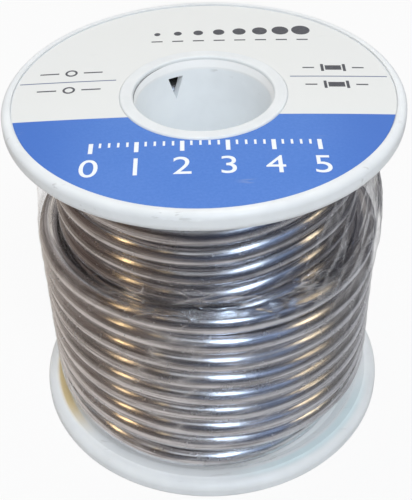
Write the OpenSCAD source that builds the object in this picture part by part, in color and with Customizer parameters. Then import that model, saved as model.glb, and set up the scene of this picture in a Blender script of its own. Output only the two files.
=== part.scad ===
// Spool of thick solder wire: a moulded plastic spool with a paper label,
// the wound wire, and the clear film shrunk round the winding.
// The spool stands on its lower flange, with its axis along Z.

/* [Spool] */
// Diameter of both flanges
flange_d = 54; // [54:0.5:58]
// Height over both flanges
spool_h = 53; // [53:0.5:56]
// Thickness of the flange at its rim
rim_t = 2.9; // [2.6:0.1:3.1]
// Thickness of the flange's web round the barrel
web_t = 1.75; // [1.5:0.05:2]
// Edge radius on the outside of the rim
rim_edge_r = 0.9; // [0.5:0.1:1]
// Edge radius on the winding side of the rim
rim_inner_r = 1.2; // [0.6:0.1:1.3]

/* [Barrel] */
// Diameter of the bore that takes a spindle
bore_d = 18.4; // [17:0.1:18.6]
// Outer diameter of the barrel
barrel_d = 20.8; // [20:0.1:20.8]
// Thickness of the flange's lip over the barrel's end
lip_t = 0.5; // [0.4:0.05:0.7]
// Width of the three-cornered hole for the start of the wire
start_hole_w = 2.3; // [1.8:0.1:2.6]
// Height of the three-cornered hole
start_hole_h = 3.6; // [2.6:0.1:4.5]
// Direction of the three-cornered hole, seen from above
start_hole_angle = 115; // [0:5:355]

/* [Label] */
// Outer diameter of the paper label
label_d = 51.1; // [48:0.1:51.2]
// Diameter of the label's hole
label_hole_d = 22.7; // [22.6:0.1:26]
// Thickness of the label
label_t = 0.12; // [0.08:0.02:0.2]
// How far in front of the axis the coloured band starts
band_front = 6.3; // [2:0.1:15]

/* [Winding] */
// Radius to the middle of the wire in the part-filled outer layer
over_r = 23; // [23:0.05:23.1]
// Radius to the middle of the wire in the layer under it
under_r = 20; // [19.8:0.1:20.1]
// Corner radius of the six-sided turn
turn_r = 1.66; // [1.3:0.02:1.66]
// Height of the middle of the first turn
first_turn_z = 48.9; // [48.5:0.1:49.2]
// Height of the middle of the last turn
last_turn_z = 4.8; // [4.7:0.1:4.9]
// Number of turns that show
turn_count = 13.25; // [12.5:0.25:13.25]
// Turn at which the wire steps up to the outer layer
climb_turn = 4; // [3:0.25:6]

/* [Film] */
// Thickness of the clear film
film_t = 0.2; // [0.1:0.05:0.3]
// Radius of the film's inner face round the outer layer
film_r = 24.95; // [24.9:0.05:25]
// Radius of the film's inner face at its upper end
film_top_r = 22.2; // [22.1:0.05:22.3]

/* [Hidden] */

$fn = 128;
flange_r = flange_d / 2;
bore_r = bore_d / 2;
barrel_r = barrel_d / 2;
cut_over = 1;                 // how far a cutter runs past what it cuts

// Flange details
hub_hole_r = bore_r + 0.25;   // hole in the lip over the barrel's end
hub_ring_r = 11.3;            // outer edge of the raised ring round the bore
hub_edge_r = 0.3;              // on both edges of that ring
socket_r = barrel_r + 0.05;
recess_r = flange_r - 1.3;    // outer edge of the sunk face for the label
recess_depth = 0.35;
ramp_inner_r = flange_r - 4.5;
ramp_outer_r = flange_r - 1.8;

// Barrel details
lead_in = 0.22;               // how far the bore opens at each end
lead_in_h = 1;
start_hole_top = spool_h - 2.55;

// Wire core, plain, under the turns that show
core_clear = 0.34;
core_under_r = under_r - turn_r - core_clear;
core_over_r = over_r - turn_r - core_clear;
core_bore_r = barrel_r + 0.1;
core_end_gap = 0.15;
core_step_drop = 2;           // the step lies this far below the climb

// Outer wire layer
rings_per_turn = 24;
turn_sides = 6;
climb_length = 0.5;           // in turns
ring_count = round(turn_count * rings_per_turn) + 1;
turn_pitch = (first_turn_z - last_turn_z) / turn_count;
climb_z = first_turn_z - turn_pitch * (climb_turn + climb_length / 2);
end_run = 2 * turn_r;

// Film
film_low_z = rim_t + 0.2;
film_shoulder_z = climb_z + 0.6;
film_top_z = spool_h - web_t - 0.35;

// Cuts the square corner at p to radius r. The material lies towards +X and +Y
// at quarter 0, and a quarter turn further round for each step after that.
module corner_cut(p, quarter, r) {
    translate(p) rotate(90 * quarter) difference() {
        translate([-cut_over, -cut_over]) square(r + cut_over);
        translate([r, r]) circle(r);
    }
}

// Half section of a flange, outer face down
module flange_section() {
    difference() {
        polygon([[hub_hole_r, 0], [flange_r, 0], [flange_r, rim_t],
                 [ramp_outer_r, rim_t], [ramp_inner_r, web_t], [hub_hole_r, web_t]]);
        translate([hub_ring_r, -cut_over])
            square([recess_r - hub_ring_r, recess_depth + cut_over]);
        translate([hub_hole_r - cut_over, lip_t])
            square([socket_r - hub_hole_r + cut_over, web_t]);
        corner_cut([flange_r, 0], 1, rim_edge_r);
        corner_cut([flange_r, rim_t], 2, rim_inner_r);
        corner_cut([hub_ring_r, 0], 1, hub_edge_r);
        corner_cut([hub_hole_r, 0], 0, hub_edge_r);
    }
}

module flange() {
    rotate_extrude() flange_section();
}

module bottom_flange() {
    color("ghostwhite") flange();
}

module top_flange() {
    color("ghostwhite") translate([0, 0, spool_h]) mirror([0, 0, 1]) flange();
}

// Prism that cuts the start hole, point down, running outwards along +X
module start_hole_cutter() {
    rotate([90, 0, 90])
        linear_extrude(barrel_r + cut_over)
            polygon([[-start_hole_w / 2, 0], [start_hole_w / 2, 0], [0, -start_hole_h]]);
}

module barrel() {
    mouth_r = bore_r + lead_in;
    low = lip_t;
    high = spool_h - lip_t;
    color("aliceblue") difference() {
        rotate_extrude()
            polygon([[mouth_r, low], [barrel_r, low], [barrel_r, high], [mouth_r, high],
                     [bore_r, high - lead_in_h], [bore_r, low + lead_in_h]]);
        rotate([0, 0, start_hole_angle]) translate([0, 0, start_hole_top]) start_hole_cutter();
    }
}

module label_ring() {
    translate([0, 0, spool_h - recess_depth])
        difference() {
            cylinder(h = label_t, d = label_d);
            translate([0, 0, -cut_over]) cylinder(h = label_t + 2 * cut_over, d = label_hole_d);
        }
}

// Everything in front of the line where the coloured band starts
module band_side() {
    translate([-flange_r, -flange_d - band_front, 0]) cube([flange_d, flange_d, spool_h]);
}

module top_label() {
    color("gainsboro") difference() {
        label_ring();
        band_side();
    }
    color("royalblue") intersection() {
        label_ring();
        band_side();
    }
}

module inner_wire_layers() {
    low = web_t + core_end_gap;
    high = spool_h - low;
    step_z = climb_z - core_step_drop;
    color("dimgray") rotate_extrude()
        polygon([[core_bore_r, low], [core_over_r, low], [core_over_r, step_z],
                 [core_under_r, step_z], [core_under_r, high], [core_bore_r, high]]);
}

// The wire's middle line: a steady spiral that steps out once, in half a turn
function ease(t) = let (c = max(0, min(1, t))) c * c * (3 - 2 * c);
function wire_r(turn) = under_r + (over_r - under_r) * ease((turn - climb_turn) / climb_length);
function radial(angle) = [cos(angle), sin(angle), 0];
function tangent(angle) = [-sin(angle), cos(angle), 0];
function wire_middle(turn) =
    wire_r(turn) * radial(360 * turn) + [0, 0, first_turn_z - turn_pitch * turn];

// One ring of the tube's points; run is how far it lies straight past the end
function tube_ring(turn, run) =
    let (angle = 360 * turn, middle = wire_middle(turn) + run * tangent(angle))
    [for (s = [0 : turn_sides - 1])
        let (a = 360 * s / turn_sides)
        middle + turn_r * cos(a) * radial(angle) + [0, 0, turn_r * sin(a)]];

wound_rings = [for (i = [0 : ring_count - 1]) tube_ring(i * turn_count / (ring_count - 1), 0)];
tube_rings = concat([tube_ring(0, -end_run)], wound_rings, [tube_ring(turn_count, end_run)]);

// Least distance from any point of the tube to the next turns of the same tube
function ring_gap(a, b) = min([for (p = a, q = b) norm(p - q)]);
least_gap = min([for (i = [0 : ring_count - 1 - rings_per_turn / 2])
    for (j = [i + rings_per_turn / 2 : min(i + 2 * rings_per_turn, ring_count - 1)])
        ring_gap(wound_rings[i], wound_rings[j])]);
echo(turn_pitch = turn_pitch, least_gap = least_gap);

function tube_faces(rings) = [
    for (i = [0 : rings - 2], s = [0 : turn_sides - 1])
        let (a = i * turn_sides + s, b = i * turn_sides + (s + 1) % turn_sides)
        each [[a, b, b + turn_sides], [a, b + turn_sides, a + turn_sides]],
    for (s = [1 : turn_sides - 2]) [0, s + 1, s],
    for (s = [1 : turn_sides - 2])
        let (first = (rings - 1) * turn_sides) [first, first + s, first + s + 1]];

module outer_wire_layer() {
    color("silver")
        polyhedron([for (ring = tube_rings) each ring], tube_faces(len(tube_rings)));
}

module shrink_film() {
    color("lightcyan", 0.4) rotate_extrude()
        polygon([[film_r, film_low_z], [film_r + film_t, film_low_z],
                 [film_r + film_t, film_shoulder_z], [film_top_r + film_t, film_top_z],
                 [film_top_r, film_top_z], [film_r, film_shoulder_z]]);
}

bottom_flange();
barrel();
top_flange();
top_label();
inner_wire_layers();
outer_wire_layer();
shrink_film();
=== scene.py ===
import math
import random

import bmesh
import bpy
import numpy as np
from mathutils import Matrix, Vector


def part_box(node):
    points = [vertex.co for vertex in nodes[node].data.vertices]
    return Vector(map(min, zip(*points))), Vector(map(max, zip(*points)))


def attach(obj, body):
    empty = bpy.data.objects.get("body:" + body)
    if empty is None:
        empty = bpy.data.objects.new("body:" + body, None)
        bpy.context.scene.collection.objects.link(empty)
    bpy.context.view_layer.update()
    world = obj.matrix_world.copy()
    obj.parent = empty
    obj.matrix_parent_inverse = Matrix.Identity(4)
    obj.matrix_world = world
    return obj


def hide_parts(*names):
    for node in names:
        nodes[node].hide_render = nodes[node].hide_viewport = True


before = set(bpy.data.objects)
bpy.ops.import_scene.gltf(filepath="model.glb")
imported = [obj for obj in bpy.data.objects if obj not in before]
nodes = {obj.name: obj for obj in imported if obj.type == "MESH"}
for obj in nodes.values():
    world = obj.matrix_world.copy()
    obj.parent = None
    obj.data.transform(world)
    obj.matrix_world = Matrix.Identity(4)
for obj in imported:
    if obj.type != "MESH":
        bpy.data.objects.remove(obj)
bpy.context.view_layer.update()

mm = 0.001
body = "root"
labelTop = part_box("top_label")[1].z / mm
print("frame loaded:", ", ".join(sorted(nodes)))


# small helpers for objects and node trees

def linkObject(name, data):
    made = bpy.data.objects.new(name, data)
    bpy.context.scene.collection.objects.link(made)
    return made


def linkMesh(name, points, faces, edges=()):
    mesh = bpy.data.meshes.new(name)
    mesh.from_pydata([tuple(p) for p in points], list(edges), list(faces))
    mesh.update()
    return linkObject(name, mesh)


def evaluatedMesh(made):    # a plain mesh of what the object shows with its modifiers
    return bpy.data.meshes.new_from_object(made.evaluated_get(bpy.context.evaluated_depsgraph_get()))


def shadeSmooth(piece):
    piece.data.polygons.foreach_set("use_smooth", [True] * len(piece.data.polygons))


def addPiece(piece, slotName, *replaced):    # rides on the spool and stands for the CAD nodes named
    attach(piece, body)
    if replaced:
        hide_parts(*replaced)
    return piece


def makeNode(tree, kind, **settings):
    made = tree.nodes.new(kind)
    for name, value in settings.items():
        setattr(made, name, value)
    return made


def plug(tree, target, value):    # a socket or a plain value goes into an input
    if isinstance(value, bpy.types.NodeSocket):
        tree.links.new(value, target)
    else:
        target.default_value = value


def plugNamed(tree, node, **given):    # inputs by name, with a space where the keyword has _
    for name, value in given.items():
        plug(tree, node.inputs[name.replace("_", " ")], value)


def maths(tree, operation, *values, clamp=False):
    made = makeNode(tree, "ShaderNodeMath", operation=operation, use_clamp=clamp)
    for target, value in zip(made.inputs, values):
        plug(tree, target, value)
    return made.outputs[0]


def times(tree, first, *others):
    for other in others:
        first = maths(tree, "MULTIPLY", first, other)
    return first


def plus(tree, first, *others):
    for other in others:
        first = maths(tree, "ADD", first, other)
    return first


def minus(tree, first, second):
    return maths(tree, "SUBTRACT", first, second)


def offBy(tree, value, middle):    # how far a value is from the middle, either way
    return maths(tree, "ABSOLUTE", minus(tree, value, middle))


def flatLength(tree, x, y):
    return maths(tree, "SQRT", plus(tree, times(tree, x, x), times(tree, y, y)))


def bearingOf(tree, x, y):    # degrees from the front, positive to the right
    return maths(tree, "DEGREES", maths(tree, "ARCTAN2", x, times(tree, y, -1.0)))


# takes a value from low..high to toLow..toHigh, and no further
def ramp(tree, value, low, high, toLow=0.0, toHigh=1.0, smooth=True):
    made = makeNode(tree, "ShaderNodeMapRange", interpolation_type="SMOOTHSTEP" if smooth else "LINEAR")
    for target, given in zip(made.inputs, (value, low, high, toLow, toHigh)):
        plug(tree, target, given)
    return made.outputs[0]


def below(tree, value, edge, soft):    # 1 below the edge, 0 above it, or turned round if soft is negative
    return ramp(tree, value, edge + soft, edge - soft)


def zone(tree, value, limits):    # 0 outside the outer two limits, 1 between the inner two
    return times(tree, ramp(tree, value, limits[0], limits[1]), ramp(tree, value, limits[3], limits[2]))


def noiseOf(tree, vector, scale, detail=2.0, rough=0.5):
    made = makeNode(tree, "ShaderNodeTexNoise")
    plugNamed(tree, made, Vector=vector, Scale=scale, Detail=detail, Roughness=rough)
    return made.outputs["Fac"]


def blendColour(tree, share, first, second, mode="MIX"):
    made = makeNode(tree, "ShaderNodeMix", data_type="RGBA", blend_type=mode)
    for index, value in ((0, share), (6, first), (7, second)):    # its sockets for colours
        plug(tree, made.inputs[index], value)
    return made.outputs[2]


def stretched(tree, vector, scale):    # the same coordinates, scaled along each axis
    made = makeNode(tree, "ShaderNodeMapping")
    plugNamed(tree, made, Vector=vector, Scale=scale)
    return made.outputs[0]


def ownPlace(tree):
    return makeNode(tree, "ShaderNodeTexCoord").outputs["Object"]


def axesOf(tree, vector):
    made = makeNode(tree, "ShaderNodeSeparateXYZ")
    plug(tree, made.inputs[0], vector)
    return made.outputs[0], made.outputs[1], made.outputs[2]


def inMm(tree, *lengths):
    return [maths(tree, "DIVIDE", length, mm) for length in lengths]


def bumpOf(tree, height, distance, strength):
    made = makeNode(tree, "ShaderNodeBump")
    plugNamed(tree, made, Strength=strength, Distance=distance, Height=height)
    return made.outputs[0]


def paint(red, green, blue):    # a screen colour, 0 to 255, as Blender's linear one
    screen = [c / 255 for c in (red, green, blue)]
    return tuple(((c + 0.055) / 1.055) ** 2.4 if c > 0.04 else c / 12.92 for c in screen) + (1.0,)


def newMaterial(name):
    made = bpy.data.materials.new(name)
    made.use_nodes = True
    return made, made.node_tree, made.node_tree.nodes["Principled BSDF"]


def coat(piece, material):
    piece.data.materials.clear()
    piece.data.materials.append(material)


def newGroup(name, inputs, outputs):    # an input without a value is a vector
    group = bpy.data.node_groups.new(name, "ShaderNodeTree")
    for label, value in inputs.items():
        kind = "NodeSocketVector" if value is None else "NodeSocketFloat"
        socket = group.interface.new_socket(label, in_out="INPUT", socket_type=kind)
        if value is not None:
            socket.default_value = value
    for label in outputs:
        group.interface.new_socket(label, in_out="OUTPUT", socket_type="NodeSocketFloat")
    return group, makeNode(group, "NodeGroupInput").outputs, makeNode(group, "NodeGroupOutput").inputs


def useGroup(tree, group, **given):
    made = makeNode(tree, "ShaderNodeGroup", node_tree=group)
    plugNamed(tree, made, **given)
    return made.outputs


# camera and surroundings

cameraSetup = {
    "position": (0.0, -0.11581, 0.12225),
    "pitch": 40.323,    # degrees below level
    "roll": -1.783,
    "lens": 71.638,
    "shiftX": -0.00514,
    "shiftY": 0.01345,
}

studio = {
    "ambient": 0.455,
    "ambientColour": (1.0, 0.985, 0.96, 1.0),
    "floorColour": paint(212, 212, 213),
    "floorSpeck": (0.7, 0.7, 0.7, 1.0),
    "speckShare": 0.03,
    "floorInMetal": {    # what the turns mirror from below, near the spool and further off
        "left": (0.70, 0.62, 0.555, 1.0),
        "right": (0.60, 0.595, 0.605, 1.0),
        "far": (0.080, 0.078, 0.090, 1.0),
        "farLeft": (0.30, 0.25, 0.21, 1.0),
        "farTurns": (-0.11, -0.03),    # where the far left turns into the far right
        "nearTo": 0.058,
        "farFrom": 0.112,
    },
    "floorGlow": 0.92,    # share of the floor that shows as plain white
    "floorRadius": 3.0,
    "lamps": {    # azimuth from the front, elevation, distance, width, height, watts, colour
        "key": (13, 53, 0.6, 0.19, 0.19, 1.98, (0.83, 0.915, 1.0)),
        "back": (-145, 64, 0.7, 0.5, 0.4, 1.10, (1.0, 0.955, 0.91)),
    },
    "lampAim": 0.03,    # height on the axis that the lamps point at
    # what only polished surfaces mirror: azimuth, elevation, half width, half height, soft edge, colour
    "room": {
        "keyGlare": (17, 48, 9, 7, 8, (8.0, 9.6, 11.6)),
        "backGlow": (178, 44, 20, 14, 12, (0.70, 0.64, 0.54)),
        "topGlint": (178, 70, 74, 5, 6, (6.2, 5.9, 5.3)),
        "warmLeft": (-63, 46, 3, 8, 4, (6.5, 4.5, 2.2)),
        "warmNear": (-33, 48, 2, 5, 3, (2.2, 1.7, 1.0)),
        "warmRight": (78, 44, 8, 9, 4, (3.2, 2.6, 1.7)),
        "glareTrail": (-12, 50, 14, 3, 5, (1.7, 1.75, 1.8)),
        "front": (16, 0, 30, 22, 20, (0.012, 0.028, 0.075)),
        "skirt": (36, 36, 24, 16, 16, (0.23, 0.33, 0.54)),
        "ceiling": (0, 90, 180, 26, 14, (0.24, 0.245, 0.26)),
        "leftWall": (-92, 30, 58, 60, 16, (0.058, 0.030, 0.012)),
        "rightWall": (105, 40, 48, 60, 22, (0.085, 0.078, 0.070)),
        "backWall": (180, 25, 50, 50, 24, (0.30, 0.29, 0.28)),
    },
    "roomDark": (0.046, 0.046, 0.052, 1.0),
    "roomRadius": 0.9,
    "roomSteps": (4, 6),    # degrees between its points, upwards and round
}


def around(azimuth, distance, height):    # azimuth in degrees from the front, positive to the right
    angle = math.radians(azimuth)
    return Vector((distance * math.sin(angle), -distance * math.cos(angle), height))


def makeCamera(setup):
    data = bpy.data.cameras.new("camera")
    data.sensor_width = 36
    data.lens = setup["lens"]
    data.shift_x = setup["shiftX"]
    data.shift_y = setup["shiftY"]
    data.clip_start = 0.001
    camera = linkObject("camera", data)
    tilt = Matrix.Rotation(math.radians(90 - setup["pitch"]), 4, "X")
    roll = Matrix.Rotation(math.radians(setup["roll"]), 4, "Z")
    camera.matrix_world = Matrix.Translation(setup["position"]) @ tilt @ roll
    bpy.context.scene.camera = camera


def makeLamp(name, aim, azimuth, elevation, distance, width, height, watts, colour):
    data = bpy.data.lights.new(name + "Lamp", "AREA")
    data.shape = "RECTANGLE"
    data.size = width
    data.size_y = height
    data.energy = watts
    data.color = colour
    lamp = linkObject(name + "Lamp", data)
    lamp.visible_camera = False
    lamp.visible_glossy = False    # polished surfaces mirror its glare in the room instead
    rise = math.radians(elevation)
    place = around(azimuth, distance * math.cos(rise), distance * math.sin(rise))
    facing = place.to_track_quat("Z", "Y").to_matrix().to_4x4()
    lamp.matrix_world = Matrix.Translation(place + Vector((0, 0, aim))) @ facing


def seenDirectly(tree):    # 1 for what the camera, metal and glass see, 0 for what lights the object
    paths = makeNode(tree, "ShaderNodeLightPath").outputs
    seen = maths(tree, "MAXIMUM", paths["Is Camera Ray"], paths["Is Glossy Ray"])
    return maths(tree, "MAXIMUM", seen, paths["Is Transmission Ray"])


def makeWorld(setup):
    world = bpy.data.worlds.new("studio")
    world.use_nodes = True
    bpy.context.scene.world = world
    tree = world.node_tree
    background = tree.nodes["Background"]
    seen = seenDirectly(tree)
    colour = blendColour(tree, seen, setup["ambientColour"], (1, 1, 1, 1))
    strength = ramp(tree, seen, 0, 1, setup["ambient"], 1.0, smooth=False)
    plugNamed(tree, background, Color=colour, Strength=strength)


def makeFloor(setup):
    ring = [tuple(around(a, setup["floorRadius"], 0)) for a in range(0, 360, 3)]
    floor = linkMesh("floor", ring, [tuple(range(len(ring)))])
    material, tree, shader = newMaterial("paleFloor")
    plugNamed(tree, shader, Roughness=0.9, Specular_IOR_Level=0.1)
    paths = makeNode(tree, "ShaderNodeLightPath").outputs
    speck = ramp(tree, noiseOf(tree, ownPlace(tree), 40.0, 4.0), 0.3, 0.7, 0.0, setup["speckShare"])
    pale = blendColour(tree, speck, setup["floorColour"], setup["floorSpeck"])
    mirrored = setup["floorInMetal"]
    x, y = axesOf(tree, ownPlace(tree))[:2]
    aside = ramp(tree, x, -mirrored["nearTo"], mirrored["nearTo"])
    near = blendColour(tree, aside, mirrored["left"], mirrored["right"])
    far = blendColour(tree, ramp(tree, x, *mirrored["farTurns"]), mirrored["farLeft"], mirrored["far"])
    away = ramp(tree, flatLength(tree, x, y), mirrored["nearTo"], mirrored["farFrom"])
    inMetal = blendColour(tree, away, near, far)
    plug(tree, shader.inputs["Base Color"], blendColour(tree, paths["Is Glossy Ray"], pale, inMetal))
    glow = makeNode(tree, "ShaderNodeEmission")
    both = makeNode(tree, "ShaderNodeMixShader")
    share = maths(tree, "MAXIMUM", paths["Is Camera Ray"], paths["Is Transmission Ray"])
    shown = times(tree, share, setup["floorGlow"])
    for target, value in zip(both.inputs, (shown, shader.outputs[0], glow.outputs[0])):
        plug(tree, target, value)
    plug(tree, tree.nodes["Material Output"].inputs["Surface"], both.outputs[0])
    coat(floor, material)


def makeDome(distance, riseStep, turnStep):
    rings = []
    for rise in np.radians(np.arange(0, 90, riseStep)):
        level, height = distance * math.cos(rise), distance * math.sin(rise)
        rings.append([tuple(around(a, level, height)) for a in range(0, 360, turnStep)])
    count = len(rings[0])
    faces = []
    for low in range(0, (len(rings) - 1) * count, count):
        for j in range(count):
            k = (j + 1) % count
            faces.append((low + j, low + count + j, low + count + k, low + k))
    faces.append(tuple((len(rings) - 1) * count + j for j in range(count)))
    return linkMesh("room", [point for ring in rings for point in ring], faces)


def makeRoom(setup):    # a dim dome that only polished surfaces mirror
    distance = setup["roomRadius"]
    dome = makeDome(distance, *setup["roomSteps"])
    material, tree = newMaterial("dimRoom")[:2]
    x, y, z = axesOf(tree, ownPlace(tree))
    bearing = bearingOf(tree, x, y)
    rise = maths(tree, "DEGREES", maths(tree, "ARCSINE", maths(tree, "DIVIDE", z, distance, clamp=True)))
    colour = setup["roomDark"]
    for azimuth, elevation, wide, high, soft, light in setup["room"].values():
        turn = maths(tree, "WRAP", minus(tree, bearing, azimuth), 180.0, -180.0)
        aside = maths(tree, "ABSOLUTE", turn)
        above = offBy(tree, rise, elevation)
        share = times(tree, below(tree, aside, wide, soft), below(tree, above, high, soft))
        colour = blendColour(tree, share, colour, light + (1.0,), "ADD")
    glow = makeNode(tree, "ShaderNodeEmission")
    plug(tree, glow.inputs["Color"], colour)
    plug(tree, tree.nodes["Material Output"].inputs["Surface"], glow.outputs[0])
    coat(dome, material)
    for ray in ("camera", "diffuse", "transmission", "shadow", "volume_scatter"):
        setattr(dome, "visible_" + ray, False)


makeCamera(cameraSetup)
makeWorld(studio)
makeFloor(studio)
for lampName, lampSetup in studio["lamps"].items():
    makeLamp(lampName, studio["lampAim"], *lampSetup)
makeRoom(studio)
bpy.context.scene.view_settings.view_transform = "Standard"
print("camera, lamps and floor made")


# effects that several finishes share

def makeGrain():    # fine unevenness of a surface, at two scales
    sizes = {"Place": None, "Scale": 900.0, "Coarse": 120.0}
    fineShare = 0.35
    group, given, result = newGroup("fineGrain", sizes, ("Height", "Tone"))
    fine = noiseOf(group, given["Place"], given["Scale"], 2.0)
    broad = noiseOf(group, given["Place"], given["Coarse"], 3.0)
    plug(group, result["Height"], plus(group, times(group, fine, fineShare), broad))
    plug(group, result["Tone"], ramp(group, broad, 0.3, 0.7))
    return group


def makeScuffs():    # smudges and thin rubbed streaks
    sizes = {"Place": None, "Scale": 60.0, "Amount": 0.5}
    finer, spread = 14.0, 1.7    # the streaks' scale against the smudges', and that of where they lie
    group, given, result = newGroup("rubbedMarks", sizes, ("Smudge", "Streak"))
    patch = noiseOf(group, given["Place"], given["Scale"], 5.0, 0.65)
    edge = minus(group, 0.8, times(group, given["Amount"], 0.4))
    plug(group, result["Smudge"], ramp(group, patch, edge, plus(group, edge, 0.15)))
    rubbed = stretched(group, given["Place"], (0.16, 1.0, 1.0))
    line = noiseOf(group, rubbed, times(group, given["Scale"], finer), 2.0)
    where = noiseOf(group, given["Place"], times(group, given["Scale"], spread), 2.0)
    shown = ramp(group, where, minus(group, edge, 0.08), edge)
    plug(group, result["Streak"], times(group, ramp(group, line, 0.63, 0.72), shown))
    return group


def makeFolds():    # thin crests that run along the stretched direction
    sizes = {"Place": None, "Scale": 300.0, "Sharpness": 9.0}
    group, given, result = newGroup("sharpFolds", sizes, ("Crest",))
    wave = noiseOf(group, given["Place"], given["Scale"], 1.5)
    off = times(group, offBy(group, wave, 0.5), 2.0)
    plug(group, result["Crest"], maths(group, "POWER", minus(group, 1.0, off), given["Sharpness"]))
    return group


grainGroup = makeGrain()
scuffGroup = makeScuffs()
foldGroup = makeFolds()


# moulded spool

plasticLook = {
    "white": paint(237, 239, 240),
    "shade": paint(228, 229, 230),
    "shadeShare": 0.35,
    "grime": paint(150, 146, 142),
    "grimeShares": {"Smudge": 0.12, "Streak": 0.30},
    "roughness": (0.3, 0.12),    # least, and how much the grain adds
    "grain": {"Scale": 1400.0, "Coarse": 160.0},
    "marks": {"Scale": 90.0, "Amount": 0.42},
    "bump": (0.00002, 0.5),    # height and strength
    "glowThrough": 0.18,
    "glowDepth": 0.0012,
    "paintedReflections": (    # painted reflected colour beside the lowest turn: colour, bearing and its reach, radius and its reach, strength
        (paint(214, 186, 116), -80, 34, 24.6, 1.1, 0.8),
        (paint(196, 232, 238), 42, 44, 24.9, 1.5, 0.4),
    ),
    "lowFace": (4.0, 3.5),    # heights between which the lower flange's face gives way to what lies above
    "glowRadius": (26.4, 24.9),    # inside it that flange has a painted glow, standing for light from below
    "paintedGlowBelow": 0.15,
    "paintedRimGlow": 0.07,    # painted glow on the upper flange's thick rim, standing for light through it, away from the front
    "rimFrom": (25.5, 26.3),
    "rimBehind": (30.0, 75.0),
    "scuffed": (-4.0, -26.0, 3.0),    # worn patch on the upper rim: x, y and radius
    "scuffedFrom": (51.9, 52.5),
    "scuffShare": 0.28,
}

boreLook = {
    # painted light: the bore wall is whiter and bluer than the flanges, standing for light the translucent
    # plastic lets in
    "wall": paint(246, 250, 253),
    "band": paint(253, 253, 253),    # painted light: lighter where only the flange's web lies behind the wall
    "bandFrom": (50.9, 51.65),
    # painted shade in the gap under the flange's lip
    "paintedSeamShade": paint(74, 72, 74),
    "paintedSeamShadeShare": 0.8,
    "seamTop": 52.5,
    "seamAngle": 174,    # degrees from +X, where the barrel stands furthest off the lip and the painted shade is widest
    "seamReach": 66,    # degrees from there to where the gap closes and the painted shade ends
    "seamDepth": 0.27,
    "through": (1.0, 0.95, 0.86, 1.0),    # painted glow for light through the plastic: its colour, and how much of it
    "paintedGlowWall": 0.034,
    "paintedGlowBand": 0.055,
}


def addPlastic(tree, shader, look, base, glowThrough):
    place = ownPlace(tree)
    grain = useGroup(tree, grainGroup, Place=place, **look["grain"])
    marks = useGroup(tree, scuffGroup, Place=place, **look["marks"])
    shaded = blendColour(tree, 1.0, base, look["shade"], "MULTIPLY")
    colour = blendColour(tree, times(tree, grain["Tone"], look["shadeShare"]), base, shaded)
    for mark, share in look["grimeShares"].items():
        colour = blendColour(tree, times(tree, marks[mark], share), colour, look["grime"])
    least, more = look["roughness"]
    rough = plus(tree, least, times(tree, grain["Tone"], more))
    bump = bumpOf(tree, grain["Height"], *look["bump"])
    plugNamed(tree, shader, Base_Color=colour, Roughness=rough, Normal=bump, IOR=1.5)
    plugNamed(tree, shader, Subsurface_Weight=glowThrough, Subsurface_Scale=look["glowDepth"])
    plugNamed(tree, shader, Subsurface_Radius=(1.0, 1.0, 1.1))


def tintedWhite(tree, look, bearing, flat, low):
    colour = look["white"]
    # painted reflected colour on the lower flange beside the lowest turn
    for tint, towards, half, middle, reach, strength in look["paintedReflections"]:
        aside = ramp(tree, offBy(tree, bearing, towards), half, half * 0.3)
        beside = ramp(tree, offBy(tree, flat, middle), reach, reach * 0.3)
        colour = blendColour(tree, times(tree, aside, beside, low, strength), colour, tint)
    return colour


def wornShare(tree, look, place, x, y, z):    # how much of the scuffed patch is worn through to grime
    atX, atY, radius = look["scuffed"]
    off = flatLength(tree, minus(tree, x, atX), minus(tree, y, atY))
    dashes = noiseOf(tree, stretched(tree, place, (0.35, 1.6, 1.6)), 1500.0, 2.0)
    worn = times(tree, ramp(tree, off, radius, radius * 0.5), ramp(tree, dashes, 0.56, 0.64))
    return times(tree, worn, ramp(tree, z, *look["scuffedFrom"], 0.0, look["scuffShare"]))


def makePlastic(look):
    material, tree, shader = newMaterial("whitePlastic")
    place = ownPlace(tree)
    x, y, z = inMm(tree, *axesOf(tree, place))
    bearing = bearingOf(tree, x, y)
    flat = flatLength(tree, x, y)
    low = ramp(tree, z, *look["lowFace"])
    colour = tintedWhite(tree, look, bearing, flat, low)
    # painted glow on the lower flange near the winding
    glow = times(tree, ramp(tree, flat, *look["glowRadius"]), low, look["paintedGlowBelow"])
    # painted glow on the upper rim, away from the front
    rim = times(tree, ramp(tree, flat, *look["rimFrom"]), ramp(tree, low, 1.0, 0.0))
    behind = ramp(tree, maths(tree, "ABSOLUTE", bearing), *look["rimBehind"], 0.0, look["paintedRimGlow"])
    glow = plus(tree, glow, times(tree, rim, behind))
    plugNamed(tree, shader, Emission_Color=colour, Emission_Strength=glow)
    worn = wornShare(tree, look, place, x, y, z)
    addPlastic(tree, shader, look, blendColour(tree, worn, colour, look["grime"]), look["glowThrough"])
    return material


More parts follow.
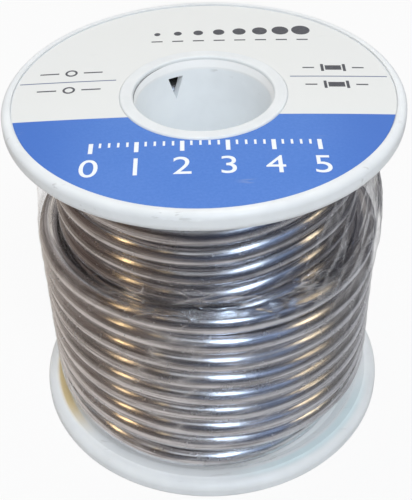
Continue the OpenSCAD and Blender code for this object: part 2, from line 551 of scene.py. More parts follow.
def makeBorePlastic(look, bore):
    material, tree, shader = newMaterial("borePlastic")
    x, y, z = axesOf(tree, ownPlace(tree))
    height = inMm(tree, z)[0]
    # painted light: the wall whiter in the band near the top
    band = ramp(tree, height, *bore["bandFrom"])
    colour = blendColour(tree, band, bore["wall"], bore["band"])
    # painted shade in the gap under the lip, deepest at the left
    turn = minus(tree, maths(tree, "ARCTAN2", y, x), math.radians(bore["seamAngle"]))
    aside = maths(tree, "ABSOLUTE", maths(tree, "WRAP", turn, math.pi, -math.pi))
    depth = times(tree, ramp(tree, aside, math.radians(bore["seamReach"]), 0.0), bore["seamDepth"])
    paintedSeamShade = ramp(tree, minus(tree, plus(tree, height, depth), bore["seamTop"]), 0.0, 0.08)
    colour = blendColour(tree, times(tree, paintedSeamShade, bore["paintedSeamShadeShare"]), colour, bore["paintedSeamShade"])
    addPlastic(tree, shader, look, colour, 0.0)
    # painted glow for light through the plastic, none in the painted shade
    lit = plus(tree, bore["paintedGlowWall"], times(tree, band, bore["paintedGlowBand"] - bore["paintedGlowWall"]))
    lit = times(tree, lit, minus(tree, 1.0, paintedSeamShade))
    plugNamed(tree, shader, Emission_Color=bore["through"], Emission_Strength=lit)
    return material


whitePlastic = makePlastic(plasticLook)
for flangeName in ("bottom_flange", "top_flange"):
    coat(nodes[flangeName], whitePlastic)
coat(nodes["barrel"], makeBorePlastic(plasticLook, boreLook))
print("spool finished")


# printed label

labelLook = {
    "paper": paint(233, 233, 231),
    "paperStain": paint(228, 228, 224),
    "band": paint(74, 124, 206),
    "bandPale": paint(116, 158, 230),    # where the ink is thin
    "bandDeep": paint(70, 112, 190),
    "bandSides": paint(60, 110, 196),
    "sidesFrom": (11.0, 23.0),
    "rule": paint(62, 84, 128),
    "white": paint(246, 248, 250),
    "dark": paint(64, 66, 74),
    "worn": paint(200, 198, 194),
    "grainScale": 2600.0,
    "washScale": 70.0,
    "bump": (0.00003, 0.4),
    "bandEdge": -5.5,    # where the coloured band starts, at the middle
    "ruleAt": 4.05,
    "ruleHalf": 0.11,
    "ruleFrom": 11.9,
    "ruleTo": 25.0,
    "slope": -0.016,    # the print lies turned and a little bowed on the flange
    "bow": 0.0015,
}

# a bar is given by its middle's place above or beside that of its mark, and its width and height
printMarks = {
    "scaleWidth": 28.5,    # the scale on the band
    "scaleMiddle": (0.0, -15.6),
    "steps": 5,
    "partsPerStep": 5,
    "stepBar": (3.1, 0.55, 2.2),
    "partBar": (3.7, 0.3, 1.0),
    "numeralSize": 5.2,
    "numeralDrop": 2.9,
    "gaugeMiddle": (4.0, 16.4),    # the row of growing dots on the plain half
    "gaugeDots": 8,
    "gaugePitch": 3.0,
    "gaugeRadii": (0.45, 1.35),
    "gaugeRise": 0.7,    # how far a dot's middle lies up, as a share of its radius
    "gaugeBar": (-1.9, 1.6, 0.3),
    "wireMarks": ((-18.2, 6.4), (-18.2, 1.9)),    # cross-section of the wire, between two lines
    "wireRing": (0.85, 0.55),    # radii
    "wireLine": (3.0, 2.6, 0.28),
    "spoolMarks": ((18.0, 6.4), (18.0, 1.9)),    # a small spool from the side
    "spoolFlange": (1.5, 0.4, 1.9),
    "spoolBody": (2.2, 1.2),
    "spoolLine": (3.4, 1.6, 0.28),
    "thickness": 0.012,
    "sunk": 0.01,
}


def makeLabelPaper(look):
    material, tree, shader = newMaterial("labelPaper")
    place = ownPlace(tree)
    x, y = inMm(tree, *axesOf(tree, place)[:2])
    drop = plus(tree, times(tree, x, look["slope"]), times(tree, times(tree, x, x), -look["bow"]))
    level = minus(tree, y, drop)    # height on the print, whose lines are not quite straight
    side = maths(tree, "ABSOLUTE", x)
    band = below(tree, level, look["bandEdge"], 0.05)
    rule = below(tree, offBy(tree, level, look["ruleAt"]), look["ruleHalf"], 0.03)
    for edge, soft in ((look["ruleFrom"], -0.04), (look["ruleTo"], 0.04)):
        rule = times(tree, rule, below(tree, side, edge, soft))
    ink = noiseOf(tree, place, look["grainScale"], 3.0, 0.7)
    wash = noiseOf(tree, place, look["washScale"], 3.0)
    bandColour = blendColour(tree, ramp(tree, ink, 0.35, 0.7, 0.0, 0.16), look["band"], look["bandPale"])
    bandColour = blendColour(tree, ramp(tree, wash, 0.35, 0.65, 0.0, 0.10), bandColour, look["bandDeep"])
    outwards = ramp(tree, side, *look["sidesFrom"], 0.0, 0.8)
    bandColour = blendColour(tree, outwards, bandColour, look["bandSides"])
    paper = blendColour(tree, ramp(tree, wash, 0.3, 0.7, 0.0, 0.25), look["paper"], look["paperStain"])
    colour = blendColour(tree, band, paper, bandColour)
    colour = blendColour(tree, times(tree, rule, 0.9), colour, look["rule"])
    marks = useGroup(tree, scuffGroup, Place=place, Scale=70.0, Amount=0.3)
    colour = blendColour(tree, times(tree, marks["Streak"], 0.2), colour, look["worn"])
    bump = bumpOf(tree, plus(tree, ink, wash), *look["bump"])
    rough = ramp(tree, wash, 0.3, 0.7, 0.36, 0.5)
    plugNamed(tree, shader, Base_Color=colour, Roughness=rough, Normal=bump, IOR=1.45)
    return material


def makeInk(name, colour, scale):
    material, tree, shader = newMaterial(name)
    ink = noiseOf(tree, ownPlace(tree), scale, 3.0, 0.7)
    thin = ramp(tree, ink, 0.4, 0.75, 0.0, 0.12)
    rough = ramp(tree, ink, 0.3, 0.7, 0.34, 0.48)
    plugNamed(tree, shader, Base_Color=blendColour(tree, thin, colour, (0.5, 0.52, 0.56, 1)), Roughness=rough)
    return material


def onPrint(x, y, look):    # a place on the straight print, laid on the label
    return x, y + look["slope"] * x - look["bow"] * x * x


def addPlate(shape, outline, look, low, high, hole=None):    # outline and hole have the same count
    rings = [outline] if hole is None else [outline, hole]
    corners = []
    for ring in rings:
        for z in (low, high):
            places = [onPrint(x, y, look) for x, y in ring]
            corners.append([shape.verts.new((px * mm, py * mm, z * mm)) for px, py in places])
    count = len(outline)
    for i in range(count):
        j = (i + 1) % count
        shape.faces.new((corners[0][i], corners[0][j], corners[1][j], corners[1][i]))
        if hole is not None:
            shape.faces.new((corners[2][j], corners[2][i], corners[3][i], corners[3][j]))
            shape.faces.new((corners[1][i], corners[1][j], corners[3][j], corners[3][i]))
            shape.faces.new((corners[0][j], corners[0][i], corners[2][i], corners[2][j]))
    if hole is None:
        shape.faces.new(corners[1])
        shape.faces.new(corners[0][::-1])


def circle(x, y, radius, count=36):
    angles = [2 * math.pi * i / count for i in range(count)]
    return [(x + radius * math.cos(a), y + radius * math.sin(a)) for a in angles]


def bar(x, y, width, height):
    cuts = max(1, round(width / 2))    # enough corners to follow the bow
    low = [(x - width / 2 + width * i / cuts, y - height / 2) for i in range(cuts + 1)]
    return low + [(point[0], y + height / 2) for point in reversed(low)]


def addNumeral(shape, text, x, y, size, look, low, high):
    data = bpy.data.curves.new("numeral", "FONT")
    data.body = text
    data.size = size
    data.align_x = "CENTER"
    data.extrude = (high - low) / 2
    data.resolution_u = 6
    made = linkObject("numeral", data)
    mesh = evaluatedMesh(made)
    for vertex in mesh.vertices:
        px, py = onPrint(x + vertex.co.x, y + vertex.co.y, look)
        vertex.co = (px * mm, py * mm, ((low + high) / 2 + vertex.co.z) * mm)
    shape.from_mesh(mesh)
    bpy.data.objects.remove(made)
    bpy.data.meshes.remove(mesh)


def finishPrint(shape, name, material):
    bmesh.ops.remove_doubles(shape, verts=shape.verts, dist=1e-7)
    bmesh.ops.recalc_face_normals(shape, faces=shape.faces)
    mesh = bpy.data.meshes.new(name)
    shape.to_mesh(mesh)
    shape.free()
    made = linkObject(name, mesh)
    coat(made, material)
    return addPiece(made, "label_paper")


def printScale(shape, look, marks, low, high):
    middleX, middleY = marks["scaleMiddle"]
    step = marks["scaleWidth"] / marks["steps"]
    stepUp, stepWidth, stepHeight = marks["stepBar"]
    partUp, partWidth, partHeight = marks["partBar"]
    for i in range(marks["steps"] + 1):
        x = middleX - marks["scaleWidth"] / 2 + i * step
        addNumeral(shape, str(i), x, middleY - marks["numeralDrop"], marks["numeralSize"], look, low, high)
        addPlate(shape, bar(x, middleY + stepUp, stepWidth, stepHeight), look, low, high)
        parts = marks["partsPerStep"] if i < marks["steps"] else 0
        for part in range(1, parts):
            partX = x + part * step / parts
            addPlate(shape, bar(partX, middleY + partUp, partWidth, partHeight), look, low, high)


def printGauges(shape, look, marks, low, high):
    def addBar(x, y, width, height):
        addPlate(shape, bar(x, y, width, height), look, low, high)

    def addPair(x, y, aside, width, height):
        for side in (-1, 1):
            addBar(x + side * aside, y, width, height)

    middleX, middleY = marks["gaugeMiddle"]
    least, most = marks["gaugeRadii"]
    up, width, height = marks["gaugeBar"]
    for i in range(marks["gaugeDots"]):
        radius = least + (most - least) * (i / (marks["gaugeDots"] - 1))
        x = middleX + (i - (marks["gaugeDots"] - 1) / 2) * marks["gaugePitch"]
        addPlate(shape, circle(x, middleY + radius * marks["gaugeRise"], radius), look, low, high)
        addBar(x, middleY + up, width, height)
    outer, inner = marks["wireRing"]
    for x, y in marks["wireMarks"]:
        addPlate(shape, circle(x, y, outer), look, low, high, hole=circle(x, y, inner))
        addPair(x, y, *marks["wireLine"])
    for x, y in marks["spoolMarks"]:
        addPair(x, y, *marks["spoolFlange"])
        addBar(x, y, *marks["spoolBody"])
        addPair(x, y, *marks["spoolLine"])


def printLabel(look, marks):
    low, high = labelTop - marks["sunk"], labelTop + marks["thickness"]
    for name, draw, ink in (("scalePrint", printScale, "white"), ("gaugePrint", printGauges, "dark")):
        shape = bmesh.new()
        draw(shape, look, marks, low, high)
        finishPrint(shape, name, makeInk(ink + "Ink", look[ink], look["grainScale"]))


coat(nodes["top_label"], makeLabelPaper(labelLook))
printLabel(labelLook, printMarks)
print("label printed")


# wound wire

winding = {
    "wireRadius": 1.5875,
    "hiddenRadii": (11.9, 14.6, 17.3),    # middles of the three layers nearest the barrel
    "underRadius": 20.0,
    "outerRadius": 23.0,
    "lowest": 3.4,
    "highest": 49.5,
    "joinTurn": -0.5,    # where the hidden wire ends and the shown one starts
    "underTurns": 14,    # the outer layer is counted from here
    "underTop": 47.85,    # height at the front of the first turn that shows
    "underPitch": 3.38,
    "hiddenPitch": 3.2,    # the same layer where the outer one covers it
    "underShown": 4.6,
    "underCrossing": (45, 40, 0.55),    # azimuth where it starts, its degrees, its share of the pitch
    "underRise": 0.8,    # the turns of that layer ride up a little at the left
    "riseAt": (5, 60),    # degrees to the left where that starts, and how long it takes
    "riseEnds": (80, 80),    # the same for its end
    "outerCrossing": (60, 120, 0.5),
    "outerPitch": 3.32,
    "firstTurn": (    # the outer layer's first turn: where on it, and height
        (-0.28, 3.5), (-0.15, 4.62), (0.0, 4.72), (0.055, 4.88), (0.11, 5.95), (0.17, 6.6),
        (0.5, 7.35), (0.83, 8.05), (1.0, 8.8),
    ),
    "uneven": (    # how far the turns of that layer lie above or below an even pitch
        (1.0, 0.0), (2.2, -0.2), (6.0, -0.22), (7.2, -0.03), (7.45, 0.0),
        (7.8, 0.95), (8.0, 0.25), (8.11, -0.22), (8.2, -0.45), (8.36, -0.4),
    ),
    "outerTurns": 8.36,
    "climb": (101, 119),    # azimuth where the wire leaves the layer below, and how far it takes
    "bulge": 0.12,    # of the crossings at the front, and how far they reach to both sides
    "bulgeHalf": 60,
    "bulgeFrom": 0.5,    # turn of the outer layer that has the first of them
    "lean": 0.05,    # the turns lie a little to the right of the axis, more so higher up
    "leanFrom": (5, 30),
    "wander": 0.08,
    "wanderFrom": (6, 6),    # height where it sets in, and how long it takes
    "wanderTo": (50, 3),
    "wanderOut": 0.35,    # the same across the layer, as a share of that along the axis
    "wanderSeeds": (5, 8),
    "pointsPerTurn": 96,
    "smooth": 4,
    "sides": 16,
    "hiddenPoints": 48,
    "hiddenSmooth": 5,
    "hiddenSides": 8,
}

wireLook = {
    "bright": (0.84, 0.84, 0.87, 1.0),
    "dull": (0.44, 0.43, 0.44, 1.0),
    "roughness": 0.20,
    "drawn": 0.7,    # how much more the surface blurs across the wire than along it
    "streak": 0.025,    # width of the lines from the drawing die against their length
    "streakScale": 2600.0,
    "cloudScale": 140.0,
    "nickScale": 900.0,
    "bump": (0.00005, 0.45),
}


def eased(t):
    t = np.clip(t, 0.0, 1.0)
    return t * t * (3 - 2 * t)


# how far the wire has gone, in turns, with more of each taken in one short stretch
def turnsAdvanced(turns, start, length, share):
    def advance(t):
        whole = np.floor(t - start)
        part = t - start - whole
        rest = np.clip((part - length) / (1 - length), 0, 1)
        return whole + share * eased(part / length) + (1 - share) * rest
    return advance(turns) - advance(np.zeros(1))[0]


def smoothed(values, width):
    padded = np.concatenate([np.full(width, values[0]), values, np.full(width, values[-1])])
    count = 2 * width + 1
    return np.convolve(padded, np.ones(count) / count, "same")[width:-width]


def softWaves(angle, height, seed):    # slow unevenness that neighbouring turns share, about -1 to 1
    draw = random.Random(seed)
    total = np.zeros_like(angle)
    for rounds in (1, 2, 3, 5, 7):
        high = draw.uniform(0.3, 1.0)
        total += high * np.sin(rounds * angle + draw.uniform(0, 6.28) + height / draw.uniform(5, 14))
    return total / 2.5


def placeTurns(turns, radius, height, size):    # points of the wire's middle, in millimetres
    angle = -2 * math.pi * turns    # from the front, positive to the right
    height = smoothed(height, size["smooth"])
    radius = smoothed(radius, size["smooth"])
    low, taken = size["wanderFrom"]
    high, takenBack = size["wanderTo"]
    offEnds = eased((height - low) / taken) * eased((high - height) / takenBack)
    seedUp, seedOut = size["wanderSeeds"]
    height = height + size["wander"] * softWaves(angle, height, seedUp) * offEnds
    radius = radius + size["wanderOut"] * size["wander"] * softWaves(angle, height, seedOut)
    low, taken = size["leanFrom"]
    lean = size["lean"] * eased((height - low) / taken)
    return np.stack([radius * np.sin(angle) + lean, -radius * np.cos(angle), height], 1)


def underHeights(turns, azimuth, size):
    start, length, share = size["underCrossing"]
    advanced = turnsAdvanced(turns, 1 - start / 360, length / 360, share)
    covered = np.maximum(advanced - size["underShown"], 0)
    atLeft, taken = size["riseAt"]
    endsAtLeft, takenBack = size["riseEnds"]
    rise = size["underRise"] * eased((-azimuth - atLeft) / taken)
    rise = rise * (1 - eased((-azimuth - endsAtLeft) / takenBack))
    under = size["underTop"] - size["underPitch"] * (advanced - covered) - size["hiddenPitch"] * covered
    return np.clip(under + rise, size["lowest"], size["highest"])


def outerHeights(outer, size):
    start, length, share = size["outerCrossing"]
    advanced = turnsAdvanced(outer - 1, 1 - start / 360, length / 360, share)
    even = size["firstTurn"][-1][1] + size["outerPitch"] * advanced
    even = even + np.interp(outer, *zip(*size["uneven"]))
    return np.where(outer < 1, np.interp(outer, *zip(*size["firstTurn"])), even)


def shownWire(size):    # down the layer below, then up the outer layer
    turns = np.arange(size["joinTurn"], size["underTurns"] + size["outerTurns"], 1 / size["pointsPerTurn"])
    azimuth = (180 - 360 * turns) % 360 - 180
    outer = turns - size["underTurns"]
    under = underHeights(turns, azimuth, size)
    height = np.where(outer < size["firstTurn"][0][0], under, outerHeights(outer, size))
    start, length = size["climb"]
    climbed = eased((outer + start / 360) * 360 / length)
    radius = size["underRadius"] + (size["outerRadius"] - size["underRadius"]) * climbed
    half = size["bulgeHalf"]
    crossing = np.cos(np.radians(azimuth * (90 / half))) ** 2
    crossing = np.where((outer > size["bulgeFrom"]) & (np.abs(azimuth) < half), crossing, 0.0)
    return placeTurns(turns, radius + size["bulge"] * crossing, height, size)


def hiddenWire(size):    # up, down and up again, ending where the shown wire starts
    layers = len(size["hiddenRadii"])
    perLayer = (size["highest"] - size["lowest"]) / size["underPitch"]
    turns = np.arange(0, layers * perLayer, 1 / size["hiddenPoints"])
    layer = np.minimum((turns / perLayer).astype(int), layers - 1)
    share = turns / perLayer - layer
    rise = np.where(layer % 2 == 0, share, 1 - share)
    height = size["lowest"] + (size["highest"] - size["lowest"]) * rise
    radius = smoothed(np.array(size["hiddenRadii"])[layer], size["hiddenSmooth"])
    return placeTurns(turns - turns[-1] + size["joinTurn"], radius, height, size)


def makeWireTree():
    tree = bpy.data.node_groups.new("windWire", "GeometryNodeTree")
    inputs = {"Path": "Geometry", "Wire Radius": "Float", "Sides": "Int", "Finish": "Material"}
    for name, kind in inputs.items():
        tree.interface.new_socket(name, in_out="INPUT", socket_type="NodeSocket" + kind)
    tree.interface.new_socket("Wire", in_out="OUTPUT", socket_type="NodeSocketGeometry")
    given = makeNode(tree, "NodeGroupInput").outputs
    curve = makeNode(tree, "GeometryNodeMeshToCurve")
    level = makeNode(tree, "GeometryNodeSetCurveNormal", mode="Z_UP")
    along = makeNode(tree, "GeometryNodeStoreNamedAttribute", data_type="FLOAT", domain="POINT")
    ring = makeNode(tree, "GeometryNodeCurvePrimitiveCircle")
    across = makeNode(tree, "GeometryNodeStoreNamedAttribute", data_type="FLOAT_VECTOR", domain="POINT")
    sweep = makeNode(tree, "GeometryNodeCurveToMesh")
    smooth = makeNode(tree, "GeometryNodeSetShadeSmooth")
    solid = makeNode(tree, "GeometryNodeRealizeInstances")
    finish = makeNode(tree, "GeometryNodeSetMaterial")
    length = makeNode(tree, "GeometryNodeSplineParameter").outputs["Length"]
    place = makeNode(tree, "GeometryNodeInputPosition").outputs[0]
    plugNamed(tree, curve, Mesh=given["Path"])
    plugNamed(tree, level, Curve=curve.outputs["Curve"])
    plugNamed(tree, along, Geometry=level.outputs["Curve"], Name="along", Value=length)
    plugNamed(tree, ring, Resolution=given["Sides"], Radius=given["Wire Radius"])
    plugNamed(tree, across, Geometry=ring.outputs["Curve"], Name="across", Value=place)
    sweep.inputs["Fill Caps"].default_value = True
    plugNamed(tree, sweep, Curve=along.outputs["Geometry"], Profile_Curve=across.outputs["Geometry"])
    plugNamed(tree, smooth, Geometry=sweep.outputs["Mesh"])
    plugNamed(tree, solid, Geometry=smooth.outputs[0])
    plugNamed(tree, finish, Geometry=solid.outputs[0], Material=given["Finish"])
    plug(tree, makeNode(tree, "NodeGroupOutput").inputs["Wire"], finish.outputs[0])
    return tree


def grow(piece, tree, **given):    # runs the tree on the piece and keeps its result as a plain mesh
    modifier = piece.modifiers.new("grow", "NODES")
    modifier.node_group = tree
    for item in tree.interface.items_tree:
        name = item.name.replace(" ", "_")
        if item.in_out == "INPUT" and name in given:
            modifier[item.identifier] = given[name]
    result = evaluatedMesh(piece)
    piece.modifiers.clear()
    piece.data = result
    return piece


def makeSolder(look):
    material, tree, shader = newMaterial("brightSolder")
    along = makeNode(tree, "ShaderNodeAttribute", attribute_name="along").outputs["Fac"]
    across = makeNode(tree, "ShaderNodeAttribute", attribute_name="across").outputs["Vector"]
    acrossX, acrossY = axesOf(tree, across)[:2]
    lengthwise = makeNode(tree, "ShaderNodeCombineXYZ")
    for target, value in zip(lengthwise.inputs, (acrossX, acrossY, times(tree, along, look["streak"]))):
        plug(tree, target, value)
    drawn = noiseOf(tree, lengthwise.outputs[0], look["streakScale"], 3.0, 0.6)
    place = ownPlace(tree)
    cloudy = noiseOf(tree, place, look["cloudScale"], 4.0, 0.6)
    nicks = noiseOf(tree, place, look["nickScale"], 2.0, 0.5)
    tone = plus(tree, times(tree, drawn, 0.8), times(tree, cloudy, 0.3))
    colour = blendColour(tree, ramp(tree, tone, 0.45, 0.68), look["bright"], look["dull"])
    rough = plus(tree, ramp(tree, cloudy, 0.35, 0.7, 0.0, 0.08), ramp(tree, nicks, 0.64, 0.74, 0.0, 0.08))
    rough = plus(tree, rough, look["roughness"])
    height = plus(tree, times(tree, drawn, 0.7), times(tree, cloudy, 0.9))
    bump = bumpOf(tree, height, *look["bump"])
    plugNamed(tree, shader, Base_Color=colour, Roughness=rough, Normal=bump)
    plugNamed(tree, shader, Metallic=1.0, Anisotropic=look["drawn"], Anisotropic_Rotation=0.25)
    return material


def windWire(name, points, sides, tree, finish, *replaced):
    edges = [(i, i + 1) for i in range(len(points) - 1)]
    wire = linkMesh(name, points * mm, [], edges)
    grow(wire, tree, Wire_Radius=winding["wireRadius"] * mm, Sides=sides, Finish=finish)
    return addPiece(wire, "solder_wire", *replaced)


wireTree = makeWireTree()
solder = makeSolder(wireLook)
shownPath = shownWire(winding)
windWire("shownTurns", shownPath, winding["sides"], wireTree, solder, "outer_wire_layer")
windWire("hiddenTurns", hiddenWire(winding), winding["hiddenSides"], wireTree, solder, "inner_wire_layers")
print("wire wound:", len(shownPath), "points along the turns that show")


# shrink film

filmSize = {
    "thickness": 0.06,
    "clear": 0.10,    # from the crest of a turn
    "sag": 0.20,    # between two turns
    "slack": 0.06,    # over the step, up to the flange
    "wideGap": 5,    # between middles this far apart there is no turn under it
    "turnsFrom": 22.2,    # radius of the middle of a turn that it lies on
    "top": (50.6, 22.7),    # height and radius where it tucks in under the flange
    "bottom": (3.05, 23.9),
    "topFade": 3,    # its wrinkles die out over this height below the top
    "columns": 400,
    "rows": 110,
    "seed": 11,
}

filmLoose = {    # where it stands off the wire at the right
    "azimuth": 92,
    "half": 55,
    "far": 0.65,
    "heights": (25.0, 31.0, 38.0, 44.0),
}

filmDip = {    # where it follows the step at the front
    "height": 35.2,
    "halfHeight": 1.0,
    "depth": 1.5,
    "azimuth": -3,
    "half": 40,
    "strays": 0.2,
}

filmPleats = {    # upright, above the step
    "depth": 0.10,
    "count": 19,
    "heights": (36, 6),    # where they start, and how long they take
}

# middle azimuth and height, spread of both, count, depth, length, tilt from level in degrees
creaseGroups = (
    (0, 36.2, 22, 1.2, 26, 0.16, 4.0, 6),
    (-35, 34.2, 20, 1.4, 12, 0.08, 4.0, -12),
    (32, 36.0, 10, 1.6, 22, 0.24, 3.5, 30),
    (62, 39.0, 18, 4.0, 26, 0.30, 9.0, 62),
    (-74, 38.0, 14, 4.0, 6, 0.12, 9.0, -60),
    (180, 38.0, 70, 4.0, 60, 0.20, 6.0, 40),
    (4, 21.0, 14, 1.4, 12, 0.12, 3.0, 8),
    (28, 12.0, 16, 2.5, 14, 0.12, 4.0, 16),
    (0, 20.0, 180, 11.0, 150, 0.07, 5.0, 4),
)

creaseShape = {    # ranges that each crease draws from
    "tiltSpread": 14,
    "length": (0.5, 1.3),    # against its group's
    "width": (0.35, 0.8),
    "depth": (0.4, 1.2),    # against its group's
    "sides": (1, 1, -0.6),    # outwards twice as often as inwards
    "bend": 0.06,    # how much each curves over its length
    "filmRadius": 24.8,    # turns an angle into a length on the film
}

filmLook = {
    "tint": (0.93, 0.94, 0.96, 1.0),
    "roughness": 0.07,
    "mirror": 0.019,
    "grazing": 0.44,
    "haze": 0.015,
    "hazeBlur": 0.25,
    "gathered": (31.5, 34.5, 37.5, 40.5),    # heights where it is crumpled, as the winding steps in
    "low": (3.0, 6.0, 30.0, 34.0),    # heights of the level wrinkles at the front
    "lowHalf": (17.0, 9.0),    # how far they reach to both sides
    "upright": (33.0, 37.0, 49.0, 50.5),    # heights of the upright folds at the right
    "uprightFrom": (12.0, 18.0),
    "calmLeft": (-17.0, -7.0),    # left of here the crumpled band is nearly smooth
    "calmRight": (11.0, 17.0),
    "greyRight": (16.5, 21.0),    # the loose part is greyer: from where across, and upwards
    "greyAbove": (35.0, 41.0),
    "greyShare": 0.26,
    "clearLeft": (-9.0, -16.0),    # the upper left mirrors least: from where across, and upwards
    "clearAbove": (32.0, 37.0),
    "clearShare": 0.3,
    "fold": 0.36,    # how much more a sharp fold mirrors
    "foldHeight": 0.6,
    "ripple": 0.3,
    "rippleScale": 420.0,
    "broadScale": 110.0,
    "bump": (0.00025, 0.45),
    "shoulder": (32.0, 33.2, 34.8, 36.0),    # heights where it leaves the top turn, doubled and dulled
    "shoulderMirror": 0.065,
    "shoulderBlur": 0.12,
}


def angleApart(angle, other):    # the short way round, in radians
    return np.angle(np.exp(1j * (angle - other)))


def turnsAt(path, angle, least):    # height and radius of each outer turn where it passes this azimuth
    flat = np.hypot(path[:, 0], path[:, 1])
    off = angleApart(np.arctan2(path[:, 0], -path[:, 1]), angle)
    hits = np.where((off[:-1] >= 0) & (off[1:] < 0) & (np.abs(off[:-1]) < 0.5))[0]
    return [(path[i, 2], flat[i]) for i in hits if flat[i] > least]


def filmProfile(path, angle, heights, size):
    crest = winding["wireRadius"] + size["clear"]
    turns = [(z, r + crest) for z, r in turnsAt(path, angle, size["turnsFrom"])]
    anchors = sorted(turns + [size["bottom"], size["top"]])
    knotZ, knotR = np.array([a[0] for a in anchors]), np.array([a[1] for a in anchors])
    radius = np.interp(heights, knotZ, knotR)
    index = np.clip(np.searchsorted(knotZ, heights) - 1, 0, len(knotZ) - 2)
    gap = knotZ[index + 1] - knotZ[index]
    share = (heights - knotZ[index]) / gap
    depth = np.where(gap > size["wideGap"], size["slack"], size["sag"])
    return radius - depth * 4 * share * (1 - share)


# how far the creases lift each point of the film, in millimetres
def creases(groups, shape, angles, heights, seed):
    draw = random.Random(seed)
    total = np.zeros((len(angles), len(heights)))
    for middle, level, spreadA, spreadZ, count, depth, length, tilt in groups:
        for _ in range(count):
            azimuth = draw.gauss(middle, spreadA) if spreadA < 100 else draw.uniform(-180, 180)
            z = draw.gauss(level, spreadZ)
            lean = math.radians(draw.gauss(tilt, shape["tiltSpread"]))
            long = length * draw.uniform(*shape["length"])
            wide = draw.uniform(*shape["width"])
            high = depth * draw.uniform(*shape["depth"]) * draw.choice(shape["sides"])
            across = shape["filmRadius"] * angleApart(angles, math.radians(azimuth))[:, None]
            up = (heights - z)[None, :]
            run = across * math.cos(lean) + up * math.sin(lean)
            off = up * math.cos(lean) - across * math.sin(lean) + shape["bend"] * run ** 2 / length
            total += high * np.exp(-(off / wide) ** 2) * np.exp(-(run / long) ** 4)
    return total


def looseBulge(loose, angles, heights):
    aside = eased((loose["half"] - np.abs(np.degrees(angles) - loose["azimuth"])) / loose["half"])
    lowest, low, high, highest = loose["heights"]
    level = eased((heights - lowest) / (low - lowest)) * eased((highest - heights) / (highest - high))
    return loose["far"] * aside[:, None] * level[None, :]


def frontDip(dip, angles, heights):
    ahead = eased((dip["half"] - np.abs(np.degrees(angles) - dip["azimuth"])) / (0.5 * dip["half"]))
    height = dip["height"] + dip["strays"] * np.sin(7 * angles + 1)
    depth = dip["depth"] * (1 + 0.12 * np.sin(11 * angles + 2) + 0.05 * np.sin(29 * angles + 4))
    off = (heights[None, :] - height[:, None]) / dip["halfHeight"]
    return (depth * ahead)[:, None] * np.exp(-off ** 2)


def uprightPleats(pleats, angles, heights):
    low, taken = pleats["heights"]
    waves = pleats["depth"] * np.sin(angles * pleats["count"] + 1.3 * np.sin(3 * angles))
    return waves[:, None] * eased((heights - low) / taken)[None, :]


def filmRadii(path, size, angles, heights):    # of its inner wall, for each column and row
    radius = np.stack([filmProfile(path, a, heights, size) for a in angles])
    for _ in range(3):    # the film turns no sharp corners on its way round
        radius = (np.roll(radius, 1, 0) + radius * 2 + np.roll(radius, -1, 0)) / 4
    radius += looseBulge(filmLoose, angles, heights)
    radius -= frontDip(filmDip, angles, heights)
    wrinkles = creases(creaseGroups, creaseShape, angles, heights, size["seed"])
    wrinkles = wrinkles + uprightPleats(filmPleats, angles, heights)
    return radius + wrinkles * eased((size["top"][0] - heights) / size["topFade"])[None, :]


def makeFilmShape(path, size):    # two walls, closed at both ends
    rows, columns = size["rows"], size["columns"]
    angles = np.linspace(-math.pi, math.pi, columns, endpoint=False)
    heights = np.linspace(size["bottom"][0], size["top"][0], rows)
    radius = filmRadii(path, size, angles, heights)
    points, faces = [], []
    for wall in (0.0, size["thickness"]):
        for a, column in zip(angles, radius + wall):
            for r, z in zip(column, heights):
                points.append(((r * math.sin(a)) * mm, (-r * math.cos(a)) * mm, z * mm))
    outer = rows * columns
    for i in range(columns):
        here, there = i * rows, (i + 1) % columns * rows    # lowest points of this column and the next
        for j in range(rows - 1):
            a, b, c, d = here + j, there + j, there + j + 1, here + j + 1
            faces.append((a, d, c, b))
            faces.append((a + outer, b + outer, c + outer, d + outer))
        faces.append((here, there, there + outer, here + outer))
        here, there = here + rows - 1, there + rows - 1
        faces.append((there, here, here + outer, there + outer))
    return linkMesh("wrinkledFilm", points, faces)


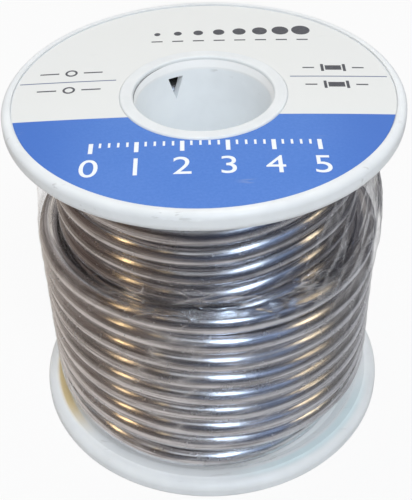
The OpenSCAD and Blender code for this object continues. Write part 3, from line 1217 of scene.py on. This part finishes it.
def foldsOf(tree, place, look, x, z):    # sharp folds, most where the film is gathered
    level = times(tree, zone(tree, z, look["low"]), ramp(tree, maths(tree, "ABSOLUTE", x), *look["lowHalf"]))
    upright = times(tree, zone(tree, z, look["upright"]), ramp(tree, x, *look["uprightFrom"]))
    gathered = times(tree, zone(tree, z, look["gathered"]), ramp(tree, x, *look["calmLeft"], 0.15, 1.0))
    gathered = times(tree, gathered, ramp(tree, x, *look["calmRight"], 1.0, 0.35))
    kinds = (    # where, how much it shows, its stretch, scale and sharpness
        (gathered, 1.0, (0.35, 0.35, 1.0), 420.0, 18.0),
        (level, 0.5, (0.22, 0.22, 1.0), 330.0, 16.0),
        (upright, 0.8, (1.0, 1.0, 0.22), 260.0, 14.0),
    )
    folds = 0.0
    for where, share, stretch, scale, sharpness in kinds:
        run = stretched(tree, place, stretch)
        crest = useGroup(tree, foldGroup, Place=run, Scale=scale, Sharpness=sharpness)["Crest"]
        folds = plus(tree, times(tree, crest, times(tree, where, share)), folds)
    return folds


def makeFilmFinish(look):
    material, tree, shader = newMaterial("clearFilm")
    place = ownPlace(tree)
    axes = axesOf(tree, place)
    x, z = inMm(tree, axes[0], axes[2])
    folds = foldsOf(tree, place, look, x, z)
    ripple = noiseOf(tree, stretched(tree, place, (1.0, 1.0, 1.6)), look["rippleScale"], 3.0, 0.55)
    broad = noiseOf(tree, place, look["broadScale"], 3.0, 0.6)
    height = plus(tree, times(tree, ripple, look["ripple"]), broad, times(tree, folds, look["foldHeight"]))
    bump = bumpOf(tree, height, *look["bump"])
    grazing = makeNode(tree, "ShaderNodeLayerWeight")
    plugNamed(tree, grazing, Blend=0.5, Normal=bump)
    sheen = maths(tree, "POWER", grazing.outputs["Facing"], 5.0)
    shoulder = zone(tree, z, look["shoulder"])
    haze = ramp(tree, broad, 0.52, 0.75, 0.0, 1.0)
    grey = times(tree, ramp(tree, x, *look["greyRight"]), ramp(tree, z, *look["greyAbove"]))
    veil = look["mirror"]    # how much of what lies behind the film is lost in its mirroring and haze
    for effect, share in ((sheen, "grazing"), (folds, "fold"), (shoulder, "shoulderMirror"), (haze, "haze"),
                          (grey, "greyShare")):
        veil = plus(tree, times(tree, effect, look[share]), veil)
    calm = times(tree, ramp(tree, x, *look["clearLeft"]), ramp(tree, z, *look["clearAbove"]))
    shown = ramp(tree, calm, 0.0, 1.0, 1.0, look["clearShare"], smooth=False)
    blur = plus(tree, look["roughness"], times(tree, shoulder, look["shoulderBlur"]))
    blur = plus(tree, blur, times(tree, haze, look["hazeBlur"]))
    plug(tree, shader.inputs["Alpha"], maths(tree, "MULTIPLY", veil, shown, clamp=True))
    plugNamed(tree, shader, Base_Color=look["tint"], Roughness=blur, Normal=bump, Metallic=1.0)
    return material


film = makeFilmShape(shownPath, filmSize)
shadeSmooth(film)
coat(film, makeFilmFinish(filmLook))
addPiece(film, "clear_film", "shrink_film")
print("film wrapped:", len(film.data.polygons), "faces")
